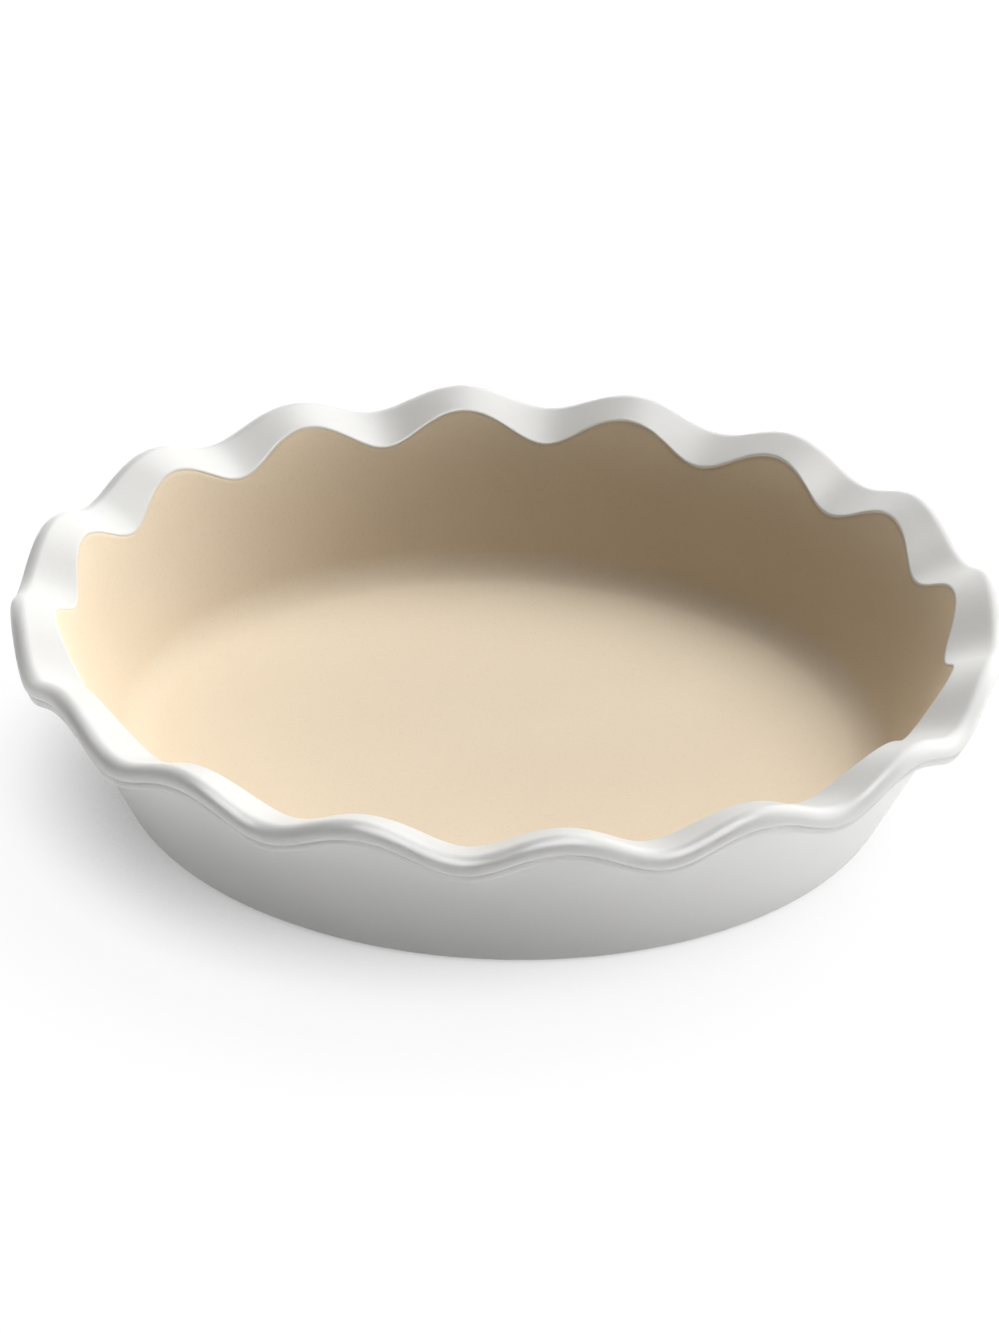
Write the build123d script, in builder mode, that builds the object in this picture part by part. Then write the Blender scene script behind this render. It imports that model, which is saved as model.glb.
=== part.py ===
from build123d import *

import os
from math import asin, atan2, cos, degrees, hypot, pi, radians, sin, tan

# A round pie dish of stoneware with a ruffled rim, its outside and rim under white glaze.
# Millimetres, +Z up, origin on the table at the middle of the foot ring, one crest of the rim on +X.

# Overall
rim_radius = 140.3           # outermost reach of the lip, glazed
rim_top_height = 52.6        # top of the lip, midway between a crest and a valley
wall_lean = 26.5             # degrees that both faces of the wall lean out from the vertical
wall_thickness = 6.1         # of the clay, square to its faces

# Ruffle of the rim
wave_count = 16
wave_height = 3.5            # rise of a crest above the rim's middle height
valley_sharpness_share = 0.05

# Section of the rim, glazed
rim_width = 14.3             # from the lip's edge in to the glaze line
rim_fall = 3.9               # the glaze line lies this far under the top of the lip
lip_round = 3.3              # radius of the lip's top edge
lip_depth = 5.1              # from the lip's top down to its lower edge
lip_bottom_round = 1.5
bead_round = 1.3             # radius of the bead that runs round under the lip
bead_setback = 1.4           # the bead stands this far inside the lip
bead_drop = 0.15             # the bead's top lies this far under the lip
cove_round = 2.5             # hollow corner between the rim's underside and the wall
lip_tuck = 3.7               # the clay's underside ends this far inside the lip's edge

# Glaze
glaze = 0.6                  # thickness of the coat
wiped_gap = 0.4              # the coat ends this far above the table
glaze_end_gap = 1.0          # bare strip between the foot ring and the coat under the wall
base_glaze_margin = 2.0      # bare clay left round the glaze of the recess
base_glaze_bevel = 0.25

# Bowl
floor_height = 8.4           # inside floor above the table
floor_corner = 12.8          # radius between the inside floor and wall
wall_corner = 1.5            # bevel of the glazed corner at the foot of the wall

# Foot ring and the recess inside it
foot_setback = 3.9           # the ring's outside stands this far inside the corner of the wall
foot_width = 7.0
foot_bevel = 0.4
recess_depth = 2.5
recess_bevel = 1.2

# How closely the curves of the rim are followed
ring_points_per_wave = 4
ring_arc_count = 4           # curves in each ring
lip_strip_count = 2
clay_lip_strip_count = 2
bead_strip_count = 2
flange_strip_count = 2
heading_share = 0.001        # share of a wave over which a curve's heading is taken
bead_turn = 145              # degrees of the bead's round, from its underside to the groove
wall_head_share = 0.97       # share of the rim's lowest edge up to which the wall is a plain cone

# Worked out from the sizes above
run = tan(radians(wall_lean))
slant = 1 / cos(radians(wall_lean))
glaze_line_radius = rim_radius - rim_width
glaze_line_height = rim_top_height - rim_fall
inner_wall_radius = glaze_line_radius - run * glaze_line_height
clay_wall_radius = inner_wall_radius + slant * wall_thickness
outer_wall_radius = clay_wall_radius + slant * glaze
foot_corner_radius = outer_wall_radius + run * wiped_gap
foot_outer_radius = foot_corner_radius - foot_setback
foot_inner_radius = foot_outer_radius - foot_width
glaze_end_radius = foot_outer_radius + glaze_end_gap
lip_radius = rim_radius - lip_round
lip_height = rim_top_height - lip_round
lip_across = lip_radius - glaze_line_radius
lip_above = lip_height - glaze_line_height
flange_rise = atan2(lip_above, lip_across) + asin(lip_round / hypot(lip_across, lip_above))
quarter_turn = 90
down = -quarter_turn
lip_turn = quarter_turn + degrees(flange_rise)
lip_bottom_radius = rim_radius - lip_bottom_round
lip_bottom_height = rim_top_height - lip_depth + lip_bottom_round
bead_radius = rim_radius - bead_setback - bead_round
bead_height = rim_top_height - lip_depth - bead_drop - bead_round
underside_height = bead_height - bead_round
corner_half = radians(quarter_turn + wall_lean) / 2
cove_reach = cove_round / tan(corner_half)
lowest_lift = -wave_height * (1 + valley_sharpness_share)
clay_bottom = wiped_gap + glaze
clay_corner_radius = clay_wall_radius + run * clay_bottom
clay_wall_corner = wall_corner - glaze * (1 / sin(corner_half) - 1) / cos(corner_half)


def wave(angle):
    """Lift of the rim at an angle: a cosine whose valleys are a little sharper than its crests."""
    swing = cos(wave_count * angle) - valley_sharpness_share * cos(2 * wave_count * angle)
    return wave_height * swing


def lifted(radius, height):
    """Station of the rim's section that the wave lifts and lowers as it stands."""
    return lambda lift: (radius, height + lift)


def meeting(wall_radius, radius, height, rise):
    """Station where a lifted line of the rim, with a given rise, meets a leaning wall."""
    def station(lift):
        level = (height + lift + rise * (wall_radius - radius)) / (1 - rise * run)
        return wall_radius + run * level, level
    return station


def beside(station, out, up):
    """Station that keeps a fixed place beside another."""
    def moved(lift):
        radius, height = station(lift)
        return radius + out, height + up
    return moved


def between(first, last, share):
    """Station a share of the way from one station to another."""
    def part_way(lift):
        radius, height = first(lift)
        far_radius, far_height = last(lift)
        return radius + share * (far_radius - radius), height + share * (far_height - height)
    return part_way


def arc(radius, height, size, start, turn, count):
    """Lifted stations along an arc of the section."""
    angles = [radians(start + turn * step / count) for step in range(count + 1)]
    return [lifted(radius + size * cos(a), height + size * sin(a)) for a in angles]


def flange(lip_end, depth):
    """Stations over the flat top of the rim, from the lip to the line where it meets the inner wall."""
    rise = tan(flange_rise)
    line = meeting(inner_wall_radius, glaze_line_radius, glaze_line_height - depth / cos(flange_rise), rise)
    steps = range(1, flange_strip_count + 1)
    return [between(lip_end, line, step / flange_strip_count) for step in steps]


def rim_point(station, angle):
    """Point of a station's curve at an angle round the dish."""
    radius, height = station(wave(angle))
    return Vector(radius * cos(angle), radius * sin(angle), height)


def heading(station, angle):
    """Direction of a station's curve, taken between two points close to each other."""
    near = 2 * pi * heading_share / wave_count
    return rim_point(station, angle + near) - rim_point(station, angle - near)


def ring(station):
    """Closed curve right round the dish through one station of the rim's section, as its arcs."""
    count = wave_count * ring_points_per_wave // ring_arc_count
    arcs = []
    for number in range(ring_arc_count):
        angles = [2 * pi * (number + step / count) / ring_arc_count for step in range(count + 1)]
        points = [rim_point(station, angle) for angle in angles]
        ends = [heading(station, angles[0]), heading(station, angles[-1])]
        with BuildLine(mode=Mode.PRIVATE) as line:
            Spline(*points, tangents=ends)
        arcs.append(line.wire())
    return arcs


def wall_circle(wall_radius, height):
    """Plain circle round a leaning wall at one height, as its arcs."""
    arcs = []
    arc_turn = 4 * quarter_turn / ring_arc_count
    for number in range(ring_arc_count):
        with BuildLine(Plane.XY.offset(height), mode=Mode.PRIVATE) as line:
            CenterArc((0, 0), wall_radius + run * height, number * arc_turn, arc_turn)
        arcs.append(line.wire())
    return arcs


def strips(*curves):
    """Faces from each closed curve to the next."""
    faces = []
    for arcs in zip(*curves):
        faces += Shell.make_loft(arcs, True).faces()
    return faces


def flat_ring(outer, inner):
    """Flat face between two plain circles."""
    return Face(Wire([arc.edge() for arc in outer]), [Wire([arc.edge() for arc in inner])])


# Section of the glazed rim: cove, underside, bead, lip and flange
corner = meeting(outer_wall_radius, outer_wall_radius, underside_height, 0)
cove_foot = beside(corner, -cove_reach * sin(radians(wall_lean)), -cove_reach * cos(radians(wall_lean)))
glazed_section = [cove_foot, beside(corner, cove_reach, 0)]
glazed_section += arc(bead_radius, bead_height, bead_round, down, bead_turn, bead_strip_count)
glazed_section += arc(lip_bottom_radius, lip_bottom_height, lip_bottom_round, down, quarter_turn, 1)
glazed_section += arc(lip_radius, lip_height, lip_round, 0, quarter_turn, lip_strip_count)
glazed_section += arc(lip_radius, lip_height, lip_round, lip_turn, 0, 1)[1:]
glazed_section += flange(glazed_section[-1], 0)

# Section of the clay rim under the glaze
clay_underside = underside_height + glaze
clay_section = [meeting(clay_wall_radius, clay_wall_radius, clay_underside, 0)]
clay_section += [lifted(rim_radius - lip_tuck, clay_underside)]
clay_section += arc(lip_radius, lip_height, lip_round - glaze, 0, lip_turn, clay_lip_strip_count)
clay_section += flange(clay_section[-1], glaze)

# Curves round the rim, and the plain circles where the upper part of the wall starts
wall_head = wall_head_share * cove_foot(lowest_lift)[1]
inner_head = wall_head_share * clay_section[-1](lowest_lift)[1]
glazed_rings = [ring(station) for station in glazed_section]
clay_rings = [ring(station) for station in clay_section]
outer_circle = wall_circle(outer_wall_radius, wall_head)
clay_circle = wall_circle(clay_wall_radius, wall_head)
inner_circle = wall_circle(inner_wall_radius, wall_head)
glazed_faces = strips(outer_circle, *glazed_rings)
clay_faces = strips(clay_circle, *clay_rings)

# Stoneware body: the bowl with its foot ring, and the ruffled rim that grows out of its wall
with BuildPart() as stoneware_body:
    with BuildSketch(Plane.XZ) as bowl_section:
        with BuildLine():
            Polyline(
                (0, recess_depth),
                (foot_inner_radius, recess_depth),
                (foot_inner_radius, 0),
                (foot_outer_radius, 0),
                (foot_outer_radius, clay_bottom),
                (clay_corner_radius, clay_bottom),
                (clay_wall_radius + run * wall_head, wall_head),
                (inner_wall_radius + run * wall_head, wall_head),
                (inner_wall_radius + run * floor_height, floor_height),
                (0, floor_height),
                close=True,
            )
        make_face()
        floor_edge = (inner_wall_radius + run * floor_height, floor_height)
        fillet(bowl_section.vertices().sort_by_distance(floor_edge)[0], floor_corner)
        wall_foot = (clay_corner_radius, clay_bottom)
        chamfer(bowl_section.vertices().sort_by_distance(wall_foot)[0], clay_wall_corner)
        recess_edge = (foot_inner_radius, recess_depth)
        chamfer(bowl_section.vertices().sort_by_distance(recess_edge)[0], recess_bevel)
        chamfer(bowl_section.vertices().group_by(Axis.Y)[0], foot_bevel)
    revolve(axis=Axis.Z)
    bare_wall = strips(clay_rings[-1], wall_circle(inner_wall_radius, inner_head), inner_circle)
    add(Solid(Shell([*clay_faces, *bare_wall, flat_ring(clay_circle, inner_circle)])))
stoneware_body.part.label = "stoneware_body"

# Outer glaze: one coat from the foot up the wall, over the lip and down to the glaze line inside
with BuildPart() as outer_glaze:
    with BuildSketch(Plane.XZ) as coat_section:
        with BuildLine():
            Polyline(
                (glaze_end_radius, clay_bottom),
                (glaze_end_radius, wiped_gap),
                (foot_corner_radius, wiped_gap),
                (outer_wall_radius + run * wall_head, wall_head),
                (clay_wall_radius + run * wall_head, wall_head),
                (clay_corner_radius, clay_bottom),
                close=True,
            )
        make_face()
        coat_foot = (foot_corner_radius, wiped_gap)
        chamfer(coat_section.vertices().sort_by_distance(coat_foot)[0], wall_corner)
        wall_foot = (clay_corner_radius, clay_bottom)
        chamfer(coat_section.vertices().sort_by_distance(wall_foot)[0], clay_wall_corner)
    revolve(axis=Axis.Z)
    glaze_edge = strips(glazed_rings[-1], clay_rings[-1])
    add(Solid(Shell([*glazed_faces, *glaze_edge, *clay_faces, flat_ring(outer_circle, clay_circle)])))
outer_glaze.part.label = "outer_glaze"

# Base glaze: the coat inside the foot ring, which keeps clear of the bare foot
with BuildPart() as base_glaze:
    with BuildSketch(Plane.XY.offset(recess_depth)):
        Circle(foot_inner_radius - recess_bevel - base_glaze_margin)
    extrude(amount=-glaze)
    chamfer(base_glaze.edges().group_by(Axis.Z)[0], base_glaze_bevel)
base_glaze.part.label = "base_glaze"

os.makedirs("parts", exist_ok=True)
export_step(stoneware_body.part, "parts/stoneware_body.step")
export_step(outer_glaze.part, "parts/outer_glaze.step")
export_step(base_glaze.part, "parts/base_glaze.step")
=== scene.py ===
from math import acos, asin, atan2, cos, degrees, hypot, pi, radians, sin, tan

import bpy
import numpy as np
from bpy.props import FloatProperty, FloatVectorProperty, IntProperty, PointerProperty
from mathutils import Matrix, Vector


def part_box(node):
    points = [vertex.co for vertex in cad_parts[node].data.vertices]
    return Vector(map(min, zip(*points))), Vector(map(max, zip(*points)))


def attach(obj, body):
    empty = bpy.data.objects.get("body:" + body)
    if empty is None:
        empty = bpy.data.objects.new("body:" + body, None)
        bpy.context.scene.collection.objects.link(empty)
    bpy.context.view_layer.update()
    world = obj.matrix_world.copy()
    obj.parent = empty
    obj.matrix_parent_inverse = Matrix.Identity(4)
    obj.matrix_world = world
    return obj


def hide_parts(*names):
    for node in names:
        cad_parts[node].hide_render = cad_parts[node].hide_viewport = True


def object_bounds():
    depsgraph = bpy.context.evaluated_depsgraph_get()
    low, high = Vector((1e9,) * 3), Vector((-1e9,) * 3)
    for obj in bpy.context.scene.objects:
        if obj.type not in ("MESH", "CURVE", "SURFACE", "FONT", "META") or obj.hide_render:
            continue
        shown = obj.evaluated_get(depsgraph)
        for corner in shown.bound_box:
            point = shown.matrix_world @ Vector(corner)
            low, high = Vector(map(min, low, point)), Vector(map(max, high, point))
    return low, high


bl_info = {
    "name": "Ruffled pie dish",
    "version": (1, 0, 0),
    "blender": (4, 5, 0),
    "location": "View3D > Sidebar > Pie Dish",
    "description": "A stoneware pie dish with a ruffled rim under white glaze",
    "category": "Object",
}

# Everything is in metres, +Z up, with the dish standing on the table at the origin.

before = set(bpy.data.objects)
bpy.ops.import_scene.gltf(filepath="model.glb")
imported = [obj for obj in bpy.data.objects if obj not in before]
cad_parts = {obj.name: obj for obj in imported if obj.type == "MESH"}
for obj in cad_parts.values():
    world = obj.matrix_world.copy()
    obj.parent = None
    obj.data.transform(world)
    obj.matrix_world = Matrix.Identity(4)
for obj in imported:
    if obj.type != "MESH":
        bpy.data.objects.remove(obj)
cad_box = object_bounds()
MM = 0.001
FULL_TURN = 2 * pi
RIM_REACH = float(cad_box[1][0])
CREST_HEIGHT = float(cad_box[1][2])
WAVE_HEIGHT = 3.5 * MM
VALLEY_SHARPNESS = 0.05
FOOT_TO_GLAZE = float(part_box("outer_glaze")[0][2])
RECESS_DEPTH = float(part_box("base_glaze")[1][2])
BASE_GLAZE_REACH = float(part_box("base_glaze")[1][0])

# How finely the meshes are made
AROUND = 384                 # points round the dish
BASE_AROUND = 192            # points round the plain disc of glaze under it

# The groove under the lip and the edge of the base glaze
BEAD_END = 62                # degrees at which the bead's arc runs into the groove
LIP_START = -115             # degrees at which the lip's lower arc leaves the groove
BASE_EDGE_SHARE = 0.45       # radius of the base glaze's edge, as a share of its thickness

# Sockets of the mix node when it mixes colours
MIX_SHARE, MIX_FIRST, MIX_SECOND, MIX_RESULT = 0, 6, 7, 2

# Table, camera and lamps
TABLE_HALF_SIDE = 4.0
CAMERA_CLIP = (0.05, 50)     # metres
CAMERA_TURN = -96.96         # degrees from +X round to the camera
CAMERA_RISE = 29.13          # degrees above the table
CAMERA_ROLL = 1.64           # degrees
CAMERA_DISTANCE = 1.5436     # metres from the middle of the foot
CAMERA_LENS = 145.1          # focal length in millimetres
CAMERA_SHIFT = (-0.0035, 0.0745)
KEY_PLACE = (53, 50, 46)     # degrees: from the camera's right round to the back, up, and spread
SIDE_PLACE = (0, 5, 22)
GLOSS_PLACE = (-85, 64, 60)
CONTACT_PLACE = (15, 35)     # degrees: the way that the table's contact shadow leans
CONTACT_REACH = 0.038        # metres that this shadow reaches
LOW_FILL_TOP = 8             # degrees above the horizon where the low fill ends


# Sizes, colours and lights that a user may change

def length(name, description, default):
    """A length property in metres."""
    return FloatProperty(name=name, description=description, default=default, min=0, unit="LENGTH",
                         precision=5)


def colour(name, description, default):
    """A colour property, in linear red, green and blue."""
    return FloatVectorProperty(name=name, description=description, default=default, size=3,
                               subtype="COLOR", min=0, max=1)


class DishSizes(bpy.types.PropertyGroup):
    rim_radius: length("Rim radius", "Outermost reach of the glazed lip", RIM_REACH)
    rim_top: length("Rim top", "Top of the lip midway between crest and valley",
                    CREST_HEIGHT - WAVE_HEIGHT * (1 - VALLEY_SHARPNESS))
    wall_thickness: length("Wall thickness", "Thickness of the clay wall", 6.1 * MM)
    wall_lean: FloatProperty(name="Wall lean", description="Lean of the wall from the vertical",
                             default=radians(26.5), subtype="ANGLE")
    wave_count: IntProperty(name="Waves", description="Waves round the rim", default=16, min=1)
    wave_height: length("Wave height", "Rise of a crest above the middle of the rim", WAVE_HEIGHT)
    valley_sharpness: FloatProperty(name="Valley sharpness", default=VALLEY_SHARPNESS, min=0, max=0.25,
                                    description="How much sharper the valleys are than the crests")
    rim_width: length("Rim width", "From the lip's edge in to the glaze line", 14.3 * MM)
    rim_fall: length("Rim fall", "How far the glaze line lies under the top of the lip", 3.9 * MM)
    lip_round: length("Lip round", "Radius of the lip's top edge", 3.3 * MM)
    lip_depth: length("Lip depth", "From the lip's top down to its lower edge", 5.1 * MM)
    lip_bottom_round: length("Lip bottom round", "Radius of the lip's lower edge", 1.5 * MM)
    bead_round: length("Bead round", "Radius of the bead under the lip", 1.3 * MM)
    bead_setback: length("Bead setback", "How far the bead stands inside the lip", 1.4 * MM)
    bead_drop: length("Bead drop", "Gap between the lip's lower edge and the bead", 0.15 * MM)
    lip_tuck: length("Lip tuck", "How far inside the lip's edge the clay's underside ends", 5.0 * MM)
    cove_round: length("Cove round", "Radius of the hollow between rim and wall", 2.5 * MM)
    glaze: length("Glaze", "Thickness of the glaze", 0.6 * MM)
    glaze_roll: length("Glaze roll", "Radius of the thick roll at the glaze's inner edge", 0.9 * MM)
    glaze_proud: length("Glaze stand", "How far that roll stands off the clay wall", 0.14 * MM)
    glaze_end_gap: length("Glaze end gap", "Bare strip between the foot ring and the coat", 1.0 * MM)
    floor_height: length("Floor height", "Inside floor above the table", 8.4 * MM)
    floor_corner: length("Floor corner", "Radius between the inside floor and wall", 12.8 * MM)
    wall_corner: length("Wall corner", "Radius of the glazed corner at the foot", 3.6 * MM)
    foot_setback: length("Foot setback", "How far the foot ring stands inside the wall's corner",
                         3.9 * MM)
    foot_width: length("Foot width", "Width of the foot ring", 7.0 * MM)
    foot_round: length("Foot round", "Radius of the foot ring's edges", 0.6 * MM)
    recess_round: length("Recess round", "Radius in the corner of the recess", 1.5 * MM)


class DishColours(bpy.types.PropertyGroup):
    stoneware: colour("Stoneware", "Bare fired clay", (0.86, 0.738, 0.57))
    stoneware_dark: colour("Stoneware shade", "Darker patches and grains of the clay",
                           (0.70, 0.555, 0.38))
    glaze: colour("Glaze", "White glaze", (0.82, 0.82, 0.805))
    glaze_thin: colour("Thin glaze", "Glaze where it runs thin over the clay", (0.78, 0.74, 0.66))
    table: colour("Table", "Table under the dish", (0.92, 0.92, 0.92))


class DishLights(bpy.types.PropertyGroup):
    key: FloatProperty(name="Key light", description="Strength of the large soft lamp", default=3.5)
    side: FloatProperty(name="Side light", description="Strength of the low lamp on the right",
                        default=1.05)
    gloss: FloatProperty(name="Gloss light", default=7.0,
                         description="Strength of the soft panel that only shows in gloss")
    low_fill: FloatProperty(name="Low fill", default=4.1,
                            description="Strength of the light that comes in low, from all round")
    table_glow: FloatProperty(name="Table glow", default=0.94,
                              description="Brightness added to the table as the camera sees it")
    table_shade: FloatProperty(name="Table shade", default=0.09, min=0, max=1,
                               description="How strongly the camera sees the table's shadow")
    contact_shade: FloatProperty(name="Contact shade", default=1.1,
                                 description="Depth of the table's shadow right beside the dish")


# Shapes: a section of stations, carried right round the dish

def plain(radius, height):
    """Stations that the wave leaves alone, as rows of radius, height, and their shares of the lift."""
    radius, height = np.broadcast_arrays(np.asarray(radius, float), np.asarray(height, float))
    nothing = np.zeros_like(radius)
    return np.stack([radius, height, nothing, nothing], axis=-1).reshape(-1, 4)


def lifted(radius, height):
    """Stations that the wave lifts and lowers as they stand."""
    stations = plain(radius, height)
    stations[:, 3] = 1
    return stations


def round_edge(make, radius, height, size, start, stop, count):
    """Stations on an arc: centre plus size times the cosine and sine of angles spread evenly."""
    turn = np.radians(np.linspace(start, stop, count))
    return make(radius + size * np.cos(turn), height + size * np.sin(turn))


def straight(first, last, count):
    """Stations spread evenly between two others, both ends left out."""
    share = np.linspace(0, 1, count + 2)[1:-1, None]
    return first[None, :] * (1 - share) + last[None, :] * share


def joined(*runs):
    """One section made of runs of stations, one after the other."""
    return np.concatenate([np.atleast_2d(run) for run in runs])


def section_values(sizes):
    """Places in the dish's section that several pieces share, worked out from the sizes."""
    v = {}
    v["run"] = run = tan(sizes.wall_lean)
    v["slant"] = 1 / cos(sizes.wall_lean)
    v["line_radius"] = sizes.rim_radius - sizes.rim_width
    v["line_height"] = sizes.rim_top - sizes.rim_fall
    v["inner"] = v["line_radius"] - run * v["line_height"]
    v["clay"] = v["inner"] + v["slant"] * sizes.wall_thickness
    v["outer"] = v["clay"] + v["slant"] * sizes.glaze
    v["foot_corner"] = v["outer"] + run * FOOT_TO_GLAZE
    v["foot_outer"] = v["foot_corner"] - sizes.foot_setback
    v["foot_inner"] = v["foot_outer"] - sizes.foot_width
    v["lip_radius"] = sizes.rim_radius - sizes.lip_round
    v["lip_height"] = sizes.rim_top - sizes.lip_round
    across = v["lip_radius"] - v["line_radius"]
    above = v["lip_height"] - v["line_height"]
    v["rise"] = atan2(above, across) + asin(sizes.lip_round / hypot(across, above))
    v["lip_bottom"] = sizes.rim_top - sizes.lip_depth
    v["bead_radius"] = sizes.rim_radius - sizes.bead_setback - sizes.bead_round
    v["bead_height"] = v["lip_bottom"] - sizes.bead_drop - sizes.bead_round
    v["underside"] = v["bead_height"] - sizes.bead_round
    v["corner_half"] = (pi / 2 + sizes.wall_lean) / 2
    return v


def on_wall(wall, height, run):
    """Stations on a leaning wall that ride up and down it with the wave."""
    stations = lifted(wall + run * height, height)
    stations[:, 2] = run
    return stations


def glazed_side(sizes, v):
    """Outside of the glaze, from the end of the coat under the wall to the lip and the flange's end.
    Straight runs and arcs of the section; the wave carries the rim's stations as they stand."""
    bottom = FOOT_TO_GLAZE
    corner = sizes.wall_corner / tan(v["corner_half"])
    corner_turn = 90 - degrees(sizes.wall_lean)
    foot = round_edge(plain, v["foot_corner"] - corner, bottom + sizes.wall_corner, sizes.wall_corner,
                      -90, -90 + corner_turn, count=9)
    reach = sizes.cove_round / tan(v["corner_half"])
    corner_at = on_wall(v["outer"], v["underside"], v["run"])
    turn = np.radians(np.linspace(180 - degrees(sizes.wall_lean), 90, 9))
    cove = np.repeat(corner_at, len(turn), axis=0)
    cove[:, 0] += reach + sizes.cove_round * np.cos(turn)
    cove[:, 1] += sizes.cove_round * (np.sin(turn) - 1)
    bead = round_edge(lifted, v["bead_radius"], v["bead_height"], sizes.bead_round,
                      -90, BEAD_END, count=11)
    low = round_edge(lifted, sizes.rim_radius - sizes.lip_bottom_round,
                     v["lip_bottom"] + sizes.lip_bottom_round, sizes.lip_bottom_round,
                     LIP_START, 0, count=9)
    lip = round_edge(lifted, v["lip_radius"], v["lip_height"], sizes.lip_round,
                     0, 90 + degrees(v["rise"]), count=19)
    wall_head = plain(foot[-1, 0], foot[-1, 1])[0]
    return joined(foot, straight(wall_head, cove[0], count=22), cove,
                  straight(cove[-1], bead[0], count=5), bead, low,
                  straight(low[-1], lip[0], count=2), lip)


def flange_end(sizes, v, depth):
    """Station where the top of the rim, at a depth in the glaze, meets the line of the inner wall."""
    rise = tan(v["rise"])
    height = v["line_height"] - depth / cos(v["rise"])
    share = 1 / (1 - rise * v["run"])
    level = (height + rise * (v["inner"] - v["line_radius"])) * share
    return np.array([v["inner"] + v["run"] * level, level, v["run"] * share, share])


def clay_side(sizes, v):
    """Face between clay and glaze, from the wall's foot corner over the rim to the flange's end."""
    wall = v["clay"]
    bottom = FOOT_TO_GLAZE + sizes.glaze
    size = sizes.wall_corner - sizes.glaze
    corner = size / tan(v["corner_half"])
    foot = round_edge(plain, wall + v["run"] * bottom - corner, bottom + size, size,
                      -90, -degrees(sizes.wall_lean), count=5)
    underside = v["underside"] + sizes.glaze
    meet = on_wall(wall, underside, v["run"])[0]
    lip = round_edge(lifted, v["lip_radius"], v["lip_height"], sizes.lip_round - sizes.glaze,
                     0, 90 + degrees(v["rise"]), count=9)
    tuck = lifted(sizes.rim_radius - sizes.lip_tuck, underside)[0]
    end = flange_end(sizes, v, sizes.glaze)
    return joined(foot, straight(foot[-1], meet, count=6), meet,
                  straight(meet, tuck, count=2), tuck, straight(tuck, lip[0], count=2), lip,
                  straight(lip[-1], end, count=8), end)


def glaze_roll(sizes, v):
    """Stations over the thick roll at the glaze's inner edge: an arc that touches the flange and
    ends on the clay wall, off which it stands a little. Its centre solves both distances at once."""
    end = flange_end(sizes, v, 0)
    size, back = sizes.glaze_roll, sizes.glaze_roll - sizes.glaze_proud
    flange_turn, wall_turn = pi / 2 + v["rise"], pi - sizes.wall_lean
    facing = np.array([[cos(flange_turn), sin(flange_turn)], [cos(wall_turn), sin(wall_turn)]])
    centre = np.linalg.solve(facing, [-size, -back])
    turn = np.linspace(flange_turn, wall_turn + acos(back / size), 11)
    roll = np.repeat(end[None, :], len(turn), axis=0)
    roll[:, 0] += centre[0] + size * np.cos(turn)
    roll[:, 1] += centre[1] + size * np.sin(turn)
    return roll


def lift(sizes, angle):
    """Lift of the rim: wave height times a cosine, less a little of its second harmonic."""
    turn = sizes.wave_count * angle
    return sizes.wave_height * (np.cos(turn) - sizes.valley_sharpness * np.cos(2 * turn))


def carried(sizes, section, around):
    """Points of a section carried round: radius and height, each plus its share of the lift."""
    angle = np.arange(around) * FULL_TURN / around
    up = lift(sizes, angle)[:, None]
    radius = section[None, :, 0] + section[None, :, 2] * up
    height = section[None, :, 1] + section[None, :, 3] * up
    spin = angle[:, None]
    return np.stack([radius * np.cos(spin), radius * np.sin(spin), height], axis=-1)


def ring_mesh(name, points, looped):
    """Mesh of points on a grid, closed round the dish.
    Looped: the section closes on itself. Otherwise its two ends are on the axis, and each becomes
    one point with a fan of triangles."""
    around, along, _ = points.shape
    step = (np.arange(around) + 1) % around
    if looped:
        verts = points.reshape(-1, 3)
        index = np.arange(around * along).reshape(around, along)
        nxt = np.roll(index, -1, axis=1)
        quads = np.stack([index, index[step], nxt[step], nxt], axis=-1).reshape(-1, 4)
        fans = np.empty((0, 3), int)
    else:
        inner = points[:, 1:-1]
        count = around * (along - 2)
        verts = np.concatenate([inner.reshape(-1, 3), points[0, :1], points[0, -1:]])
        index = np.arange(count).reshape(around, along - 2)
        a, b = index[:, :-1], index[:, 1:]
        quads = np.stack([a, a[step], b[step], b], axis=-1).reshape(-1, 4)
        first = np.stack([np.full(around, count), index[step, 0], index[:, 0]], axis=-1)
        last = np.stack([index[:, -1], index[step, -1], np.full(around, count + 1)], axis=-1)
        fans = np.concatenate([first, last])
    mesh = bpy.data.meshes.new(name)
    mesh.vertices.add(len(verts))
    mesh.vertices.foreach_set("co", verts.astype(np.float32).ravel())
    corners = np.concatenate([quads.ravel(), fans.ravel()])
    sides = np.concatenate([np.full(len(quads), 4), np.full(len(fans), 3)])
    mesh.loops.add(len(corners))
    mesh.loops.foreach_set("vertex_index", corners.astype(np.int32))
    mesh.polygons.add(len(sides))
    starts = np.concatenate([[0], np.cumsum(sides)[:-1]])
    mesh.polygons.foreach_set("loop_start", starts.astype(np.int32))
    mesh.polygons.foreach_set("use_smooth", np.ones(len(sides), bool))
    mesh.update(calc_edges=True)
    mesh.validate()
    piece = bpy.data.objects.new(name, mesh)
    bpy.context.scene.collection.objects.link(piece)
    return piece


def place(piece, material, node):
    """Gives a piece its material, hangs it on the root body and hides the CAD part that it stands for.
    """
    piece.data.materials.append(material)
    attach(piece, "root")
    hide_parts(node)


# Materials

def put(tree, socket, value):
    """Sets a socket to a number or colour, or links another socket to it."""
    if isinstance(value, bpy.types.NodeSocket):
        tree.links.new(value, socket)
    else:
        socket.default_value = value


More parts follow.
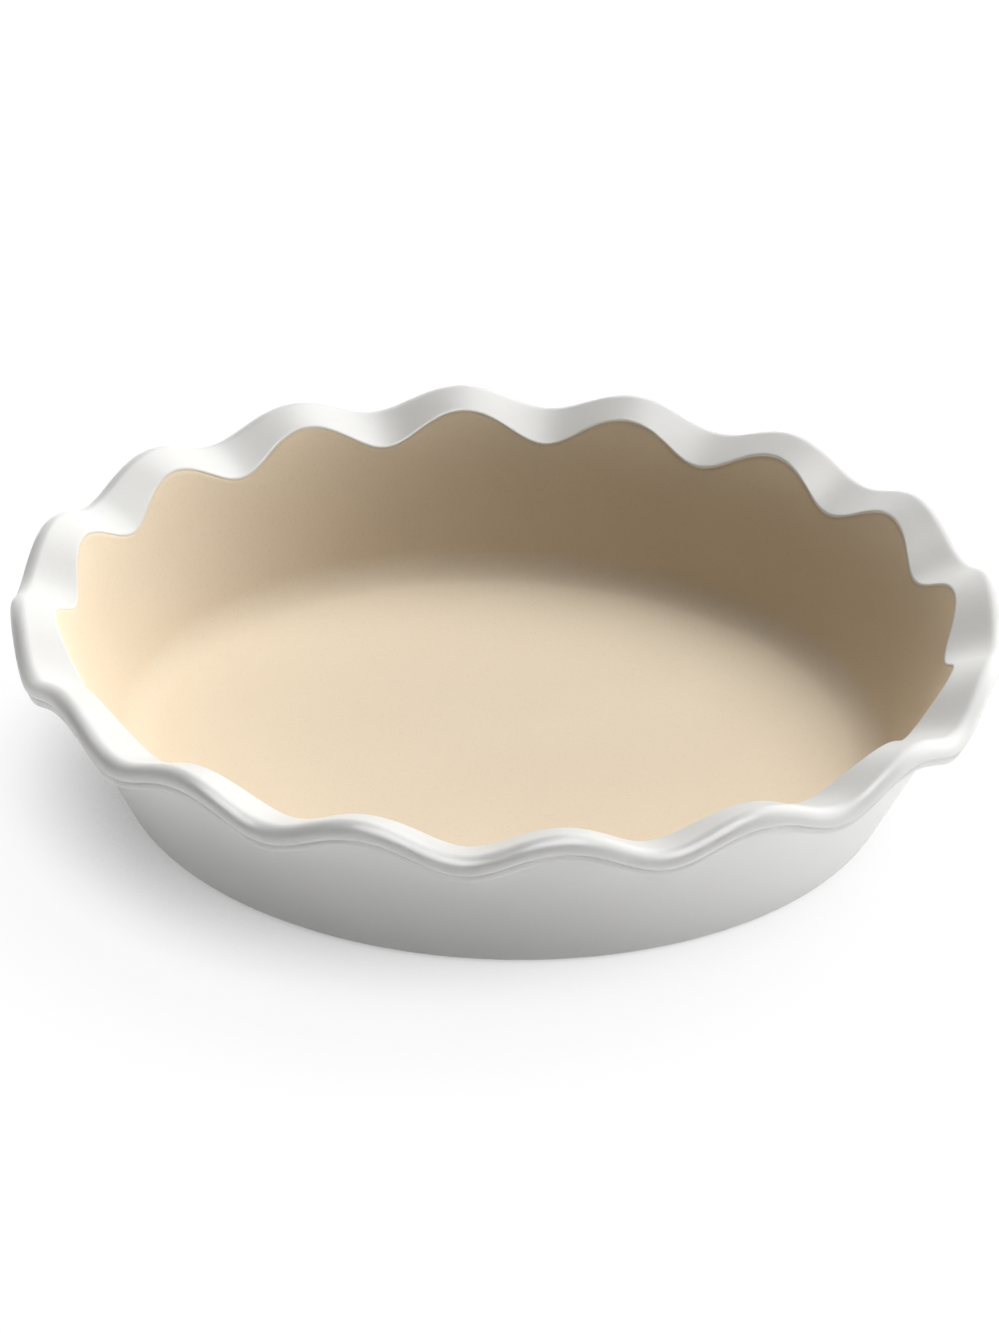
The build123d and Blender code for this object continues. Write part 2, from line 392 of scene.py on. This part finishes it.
def calculated(tree, operation, first, second):
    """The result of a calculation on two values, each a number or a socket."""
    node = tree.nodes.new("ShaderNodeMath")
    node.operation = operation
    for socket, value in zip(node.inputs, (first, second)):
        put(tree, socket, value)
    return node.outputs[0]


def ranged(tree, value, **ends):
    """A node that carries a value from one range to another, with the ends that are given."""
    node = tree.nodes.new("ShaderNodeMapRange")
    put(tree, node.inputs["Value"], value)
    for name, end in ends.items():
        put(tree, node.inputs[name.replace("_", " ")], end)
    return node


def pattern_group(name, inputs):
    """A new node group with number inputs and one mask output. Its pattern texture still has to be
    added. Gives the group, its input and output nodes, the coordinates and one over its size."""
    group = bpy.data.node_groups.new(name, "ShaderNodeTree")
    for each in inputs:
        group.interface.new_socket(each, in_out="INPUT", socket_type="NodeSocketFloat")
    group.interface.new_socket("Mask", in_out="OUTPUT", socket_type="NodeSocketFloat")
    given, out = group.nodes.new("NodeGroupInput"), group.nodes.new("NodeGroupOutput")
    coordinates = group.nodes.new("ShaderNodeTexCoord").outputs["Object"]
    return group, given, out, coordinates, calculated(group, "DIVIDE", 1, given.outputs["Size"])


def mottle_group():
    """Slow cloudy patches: noise of a few sizes, between 0 and 1."""
    if "Mottle" in bpy.data.node_groups:
        return bpy.data.node_groups["Mottle"]
    group, _, out, coordinates, scale = pattern_group("Mottle", ["Size"])
    noise = group.nodes.new("ShaderNodeTexNoise")
    noise.inputs["Detail"].default_value = 3
    noise.inputs["Roughness"].default_value = 0.55
    group.links.new(coordinates, noise.inputs["Vector"])
    group.links.new(scale, noise.inputs["Scale"])
    spread = ranged(group, noise.outputs["Fac"], From_Min=0.3, From_Max=0.7)
    group.links.new(spread.outputs["Result"], out.inputs["Mask"])
    return group


def grain_group():
    """Scattered grains: round spots at the cells of a Voronoi pattern, some cells left empty."""
    if "Grain" in bpy.data.node_groups:
        return bpy.data.node_groups["Grain"]
    group, given, out, coordinates, scale = pattern_group("Grain", ["Size", "Empty"])
    cells = group.nodes.new("ShaderNodeTexVoronoi")
    group.links.new(coordinates, cells.inputs["Vector"])
    group.links.new(scale, cells.inputs["Scale"])
    spot = ranged(group, cells.outputs["Distance"], From_Min=0.12, From_Max=0.34, To_Min=1, To_Max=0)
    split = group.nodes.new("ShaderNodeSeparateColor")
    group.links.new(cells.outputs["Color"], split.inputs["Color"])
    keep = calculated(group, "GREATER_THAN", split.outputs["Red"], given.outputs["Empty"])
    both = calculated(group, "MULTIPLY", spot.outputs["Result"], keep)
    group.links.new(both, out.inputs["Mask"])
    return group


def fresh_material(name):
    """An empty material with its output node."""
    material = bpy.data.materials.new(name)
    material.use_nodes = True
    material.node_tree.nodes.clear()
    return material, material.node_tree, material.node_tree.nodes.new("ShaderNodeOutputMaterial")


def principled(tree, out, **values):
    """A material's shader, joined to its output, with its inputs set."""
    shader = tree.nodes.new("ShaderNodeBsdfPrincipled")
    for name, value in values.items():
        shader.inputs[name.replace("_", " ")].default_value = value
    tree.links.new(shader.outputs[0], out.inputs["Surface"])
    return shader


def mixed(tree, share, first, second):
    """A colour mixed between two by a share; each may be a value or a socket."""
    node = tree.nodes.new("ShaderNodeMix")
    node.data_type = "RGBA"
    put(tree, node.inputs[MIX_SHARE], share)
    put(tree, node.inputs[MIX_FIRST], first)
    put(tree, node.inputs[MIX_SECOND], second)
    return node.outputs[MIX_RESULT]


def masked(tree, group, **values):
    """The mask of a pattern group placed in a material, with the group's inputs set."""
    node = tree.nodes.new("ShaderNodeGroup")
    node.node_tree = group
    for name, value in values.items():
        node.inputs[name].default_value = value
    return node.outputs["Mask"]


def toned(tree, base, tone, mask, share):
    """A base colour that takes on a share of a tone where a mask is high."""
    return mixed(tree, calculated(tree, "MULTIPLY", mask, share), base, tone)


def bumped(tree, shader, mask, distance, strength):
    """A bump on a shader's normal, as high in metres as the distance where the mask is full."""
    bump = tree.nodes.new("ShaderNodeBump")
    bump.inputs["Distance"].default_value = distance
    bump.inputs["Strength"].default_value = strength
    tree.links.new(mask, bump.inputs["Height"])
    tree.links.new(bump.outputs["Normal"], shader.inputs["Normal"])


def stoneware_material(colours):
    """Bare fired clay: matt tan with soft darker patches, fine dark grains and a sandy surface."""
    material, tree, out = fresh_material("bare stoneware")
    shader = principled(tree, out, Roughness=0.9, Specular_IOR_Level=0.02)
    light, dark = (*colours.stoneware, 1), (*colours.stoneware_dark, 1)
    patches = masked(tree, mottle_group(), Size=0.045)
    grains = masked(tree, grain_group(), Size=0.0011, Empty=0.45)
    sand = masked(tree, mottle_group(), Size=0.0009)
    tint = toned(tree, light, dark, patches, share=0.10)
    tint = toned(tree, tint, dark, grains, share=0.30)
    tree.links.new(tint, shader.inputs["Base Color"])
    bumped(tree, shader, sand, distance=0.00004, strength=0.4)
    return material


def glaze_material(colours):
    """White glaze: a smooth coat with slow warmer patches, a few specks and a faint orange peel."""
    material, tree, out = fresh_material("white glaze")
    shader = principled(tree, out, Roughness=0.38, Specular_IOR_Level=0.4, Coat_Weight=0.15,
                        Coat_Roughness=0.2)
    white, warm = (*colours.glaze, 1), (*colours.glaze_thin, 1)
    patches = masked(tree, mottle_group(), Size=0.03)
    specks = masked(tree, grain_group(), Size=0.004, Empty=0.9)
    peel = masked(tree, mottle_group(), Size=0.006)
    tint = toned(tree, white, warm, patches, share=0.10)
    tint = toned(tree, tint, warm, specks, share=0.18)
    tree.links.new(tint, shader.inputs["Base Color"])
    bumped(tree, shader, peel, distance=0.00008, strength=0.35)
    return material


def material_once(name, make):
    """A material made by its function the first time and found by its name after that."""
    return bpy.data.materials.get(name) or make(bpy.context.scene.dish_colours)


# Operators, one for each piece and one for the stage

class DISH_OT_stoneware_body(bpy.types.Operator):
    """Make the stoneware body: bowl, foot ring and ruffled rim under the glaze"""
    bl_idname = "dish.stoneware_body"
    bl_label = "Stoneware Body"

    def execute(self, context):
        sizes = context.scene.dish_sizes
        v = section_values(sizes)
        size = sizes.foot_round
        recess = round_edge(plain, v["foot_inner"] - sizes.recess_round,
                            RECESS_DEPTH - sizes.recess_round, sizes.recess_round, 90, 0,
                            count=7)
        foot_in = round_edge(plain, v["foot_inner"] + size, size, size, 180, 270, count=6)
        foot_out = round_edge(plain, v["foot_outer"] - size, size, size, 270, 360, count=6)
        clay_bottom = FOOT_TO_GLAZE + sizes.glaze
        step = plain(v["foot_outer"], clay_bottom)[0]
        rim = clay_side(sizes, v)
        corner_turn = (pi / 2 - sizes.wall_lean) / 2
        reach = sizes.floor_corner * tan(corner_turn)
        floor_edge = v["inner"] + v["run"] * sizes.floor_height
        floor = round_edge(plain, floor_edge - reach, sizes.floor_height + sizes.floor_corner,
                           sizes.floor_corner, -degrees(sizes.wall_lean), -90, count=15)
        axis_low, axis_high = plain(0, RECESS_DEPTH)[0], plain(0, sizes.floor_height)[0]
        section = joined(axis_low, straight(axis_low, recess[0], count=20), recess, foot_in,
                         straight(foot_in[-1], foot_out[0], count=3), foot_out, step, rim,
                         straight(rim[-1], floor[0], count=24), floor,
                         straight(floor[-1], axis_high, count=24), axis_high)
        piece = ring_mesh("stoneware_body_look", carried(sizes, section, AROUND), looped=False)
        place(piece, material_once("bare stoneware", stoneware_material), "stoneware_body")
        return {"FINISHED"}


class DISH_OT_outer_glaze(bpy.types.Operator):
    """Make the white coat from the foot up the wall, over the lip and down to the glaze line"""
    bl_idname = "dish.outer_glaze"
    bl_label = "Outer Glaze"

    def execute(self, context):
        sizes = context.scene.dish_sizes
        v = section_values(sizes)
        outside = glazed_side(sizes, v)
        contact = clay_side(sizes, v)
        roll = glaze_roll(sizes, v)
        flange = straight(outside[-1], roll[0], count=10)
        coat_end = v["foot_outer"] + sizes.glaze_end_gap
        half = 0.5 * sizes.glaze
        low_edge = round_edge(plain, coat_end + half, FOOT_TO_GLAZE + half, half, 180, 270, count=5)
        high_edge = plain(coat_end, FOOT_TO_GLAZE + sizes.glaze)
        section = joined(low_edge, outside, flange, roll, contact[::-1], high_edge)
        piece = ring_mesh("outer_glaze_look", carried(sizes, section, AROUND), looped=True)
        place(piece, material_once("white glaze", glaze_material), "outer_glaze")
        return {"FINISHED"}


class DISH_OT_base_glaze(bpy.types.Operator):
    """Make the patch of glaze inside the foot ring"""
    bl_idname = "dish.base_glaze"
    bl_label = "Base Glaze"

    def execute(self, context):
        sizes = context.scene.dish_sizes
        top, bottom = RECESS_DEPTH, RECESS_DEPTH - sizes.glaze
        size = BASE_EDGE_SHARE * sizes.glaze
        rim = round_edge(plain, BASE_GLAZE_REACH - size, bottom + size, size, -90, 0, count=6)
        low, high = plain(0, bottom)[0], plain(0, top)[0]
        edge = plain(BASE_GLAZE_REACH, top)[0]
        section = joined(low, straight(low, rim[0], count=16), rim, edge,
                         straight(edge, high, count=8), high)
        piece = ring_mesh("base_glaze_look", carried(sizes, section, BASE_AROUND), looped=False)
        place(piece, material_once("white glaze", glaze_material), "base_glaze")
        return {"FINISHED"}


class DISH_OT_stage(bpy.types.Operator):
    """Set out the table, the lamps, the world and the camera"""
    bl_idname = "dish.stage"
    bl_label = "Stage"

    def execute(self, context):
        scene = context.scene
        lights = scene.dish_lights
        scene.view_settings.view_transform = "Standard"
        side = TABLE_HALF_SIDE
        mesh = bpy.data.meshes.new("table")
        mesh.from_pydata([(-side, -side, 0), (side, -side, 0), (side, side, 0), (-side, side, 0)], [],
                         [(0, 1, 2, 3)])
        table = bpy.data.objects.new("table", mesh)
        scene.collection.objects.link(table)
        mesh.materials.append(table_material(scene.dish_colours, lights))
        set_world(scene, lights)
        set_lamps(scene, lights)
        set_camera(scene)
        return {"FINISHED"}


def seen_by_camera(tree):
    """A mask that is 1 for the rays that show the background: from the camera, gloss or glass."""
    path = tree.nodes.new("ShaderNodeLightPath").outputs
    seen = calculated(tree, "MAXIMUM", path["Is Camera Ray"], path["Is Glossy Ray"])
    return calculated(tree, "MAXIMUM", seen, path["Is Transmission Ray"])


def table_material(colours, lights):
    """Matt white table that takes the dish's shadow and reads as white to the camera.
    Its soft contact shadow is the cube of how much the dish hides from a table that leans to the
    lamps, which is darkest where it stands and fades within a few centimetres."""
    material, tree, out = fresh_material("table")
    matt = tree.nodes.new("ShaderNodeBsdfDiffuse")
    seen = seen_by_camera(tree)
    shaded = (*(Vector(colours.table) * lights.table_shade), 1)
    tree.links.new(mixed(tree, seen, (*colours.table, 1), shaded), matt.inputs["Color"])
    leaning = tree.nodes.new("ShaderNodeCombineXYZ")
    turn, rise = CONTACT_PLACE
    for socket, value in zip(leaning.inputs, pointing(CAMERA_TURN + 90 + turn, rise)):
        socket.default_value = value
    near = tree.nodes.new("ShaderNodeAmbientOcclusion")
    near.inputs["Distance"].default_value = CONTACT_REACH
    tree.links.new(leaning.outputs[0], near.inputs["Normal"])
    hidden = calculated(tree, "SUBTRACT", 1, near.outputs["AO"])
    cube = calculated(tree, "POWER", hidden, 3)
    bright = ranged(tree, cube, To_Min=lights.table_glow,
                    To_Max=lights.table_glow - lights.contact_shade)
    glow = tree.nodes.new("ShaderNodeEmission")
    put(tree, glow.inputs["Strength"],
        calculated(tree, "MULTIPLY", bright.outputs["Result"], seen))
    both = tree.nodes.new("ShaderNodeAddShader")
    tree.links.new(matt.outputs[0], both.inputs[0])
    tree.links.new(glow.outputs[0], both.inputs[1])
    tree.links.new(both.outputs[0], out.inputs["Surface"])
    return material


def set_world(scene, lights):
    """A world that is white to the camera. To the rest it is soft light from near the horizon."""
    world = bpy.data.worlds.new("studio")
    scene.world = world
    world.use_nodes = True
    tree = world.node_tree
    tree.nodes.clear()
    out = tree.nodes.new("ShaderNodeOutputWorld")
    back = tree.nodes.new("ShaderNodeBackground")
    coord = tree.nodes.new("ShaderNodeTexCoord")
    split = tree.nodes.new("ShaderNodeSeparateXYZ")
    tree.links.new(coord.outputs["Generated"], split.inputs[0])
    band = ranged(tree, split.outputs["Z"], From_Min=sin(radians(LOW_FILL_TOP)), From_Max=0,
                  To_Min=0, To_Max=lights.low_fill)
    band.interpolation_type = "SMOOTHSTEP"
    strength = ranged(tree, seen_by_camera(tree), To_Min=band.outputs["Result"])
    tree.links.new(strength.outputs["Result"], back.inputs["Strength"])
    tree.links.new(back.outputs[0], out.inputs["Surface"])


def pointing(turn, rise):
    """Unit vector at an angle round from +X and an angle above the table, in degrees."""
    turn, rise = radians(turn), radians(rise)
    return Vector((cos(turn) * cos(rise), sin(turn) * cos(rise), sin(rise)))


def set_lamps(scene, lights):
    """Three large soft lamps: one high behind the dish, one low on the camera's right, and one high
    on the camera's side that is the only one to show in the gloss."""
    for name, strength, (turn, rise, spread) in (("key", lights.key, KEY_PLACE),
                                                 ("side", lights.side, SIDE_PLACE),
                                                 ("gloss", lights.gloss, GLOSS_PLACE)):
        data = bpy.data.lights.new(name, "SUN")
        data.energy = strength
        data.angle = radians(spread)
        lamp = bpy.data.objects.new(name, data)
        lamp.visible_diffuse = name != "gloss"
        lamp.visible_glossy = name == "gloss"
        scene.collection.objects.link(lamp)
        towards = pointing(CAMERA_TURN + 90 + turn, rise)
        lamp.rotation_euler = towards.to_track_quat("Z", "Y").to_euler()


def set_camera(scene):
    """Camera that looks at the middle of the foot, set back, raised and rolled as in the photo."""
    data = bpy.data.cameras.new("camera")
    data.lens = CAMERA_LENS
    data.shift_x, data.shift_y = CAMERA_SHIFT
    data.clip_start, data.clip_end = CAMERA_CLIP
    camera = bpy.data.objects.new("camera", data)
    scene.collection.objects.link(camera)
    away = pointing(CAMERA_TURN, CAMERA_RISE)
    look = away.to_track_quat("Z", "Y").to_matrix() @ Matrix.Rotation(radians(CAMERA_ROLL), 3, "Z")
    camera.matrix_world = Matrix.Translation(away * CAMERA_DISTANCE) @ look.to_4x4()
    scene.camera = camera


class DISH_PT_panel(bpy.types.Panel):
    bl_label = "Pie Dish"
    bl_idname = "DISH_PT_panel"
    bl_space_type = "VIEW_3D"
    bl_region_type = "UI"
    bl_category = "Pie Dish"

    def draw(self, context):
        for group in (context.scene.dish_sizes, context.scene.dish_colours, context.scene.dish_lights):
            column = self.layout.column()
            for name in group.__annotations__:
                column.prop(group, name)
        for operator in OPERATORS:
            self.layout.operator(operator.bl_idname)


OPERATORS = (DISH_OT_stoneware_body, DISH_OT_outer_glaze, DISH_OT_base_glaze, DISH_OT_stage)
CLASSES = (DishSizes, DishColours, DishLights, *OPERATORS, DISH_PT_panel)


def register():
    for cls in CLASSES:
        bpy.utils.register_class(cls)
    bpy.types.Scene.dish_sizes = PointerProperty(type=DishSizes)
    bpy.types.Scene.dish_colours = PointerProperty(type=DishColours)
    bpy.types.Scene.dish_lights = PointerProperty(type=DishLights)


def unregister():
    for name in ("dish_sizes", "dish_colours", "dish_lights"):
        delattr(bpy.types.Scene, name)
    for cls in reversed(CLASSES):
        bpy.utils.unregister_class(cls)


def main():
    register()
    bpy.ops.dish.stoneware_body()
    bpy.ops.dish.outer_glaze()
    bpy.ops.dish.base_glaze()
    bpy.ops.dish.stage()


if __name__ == "__main__":
    main()
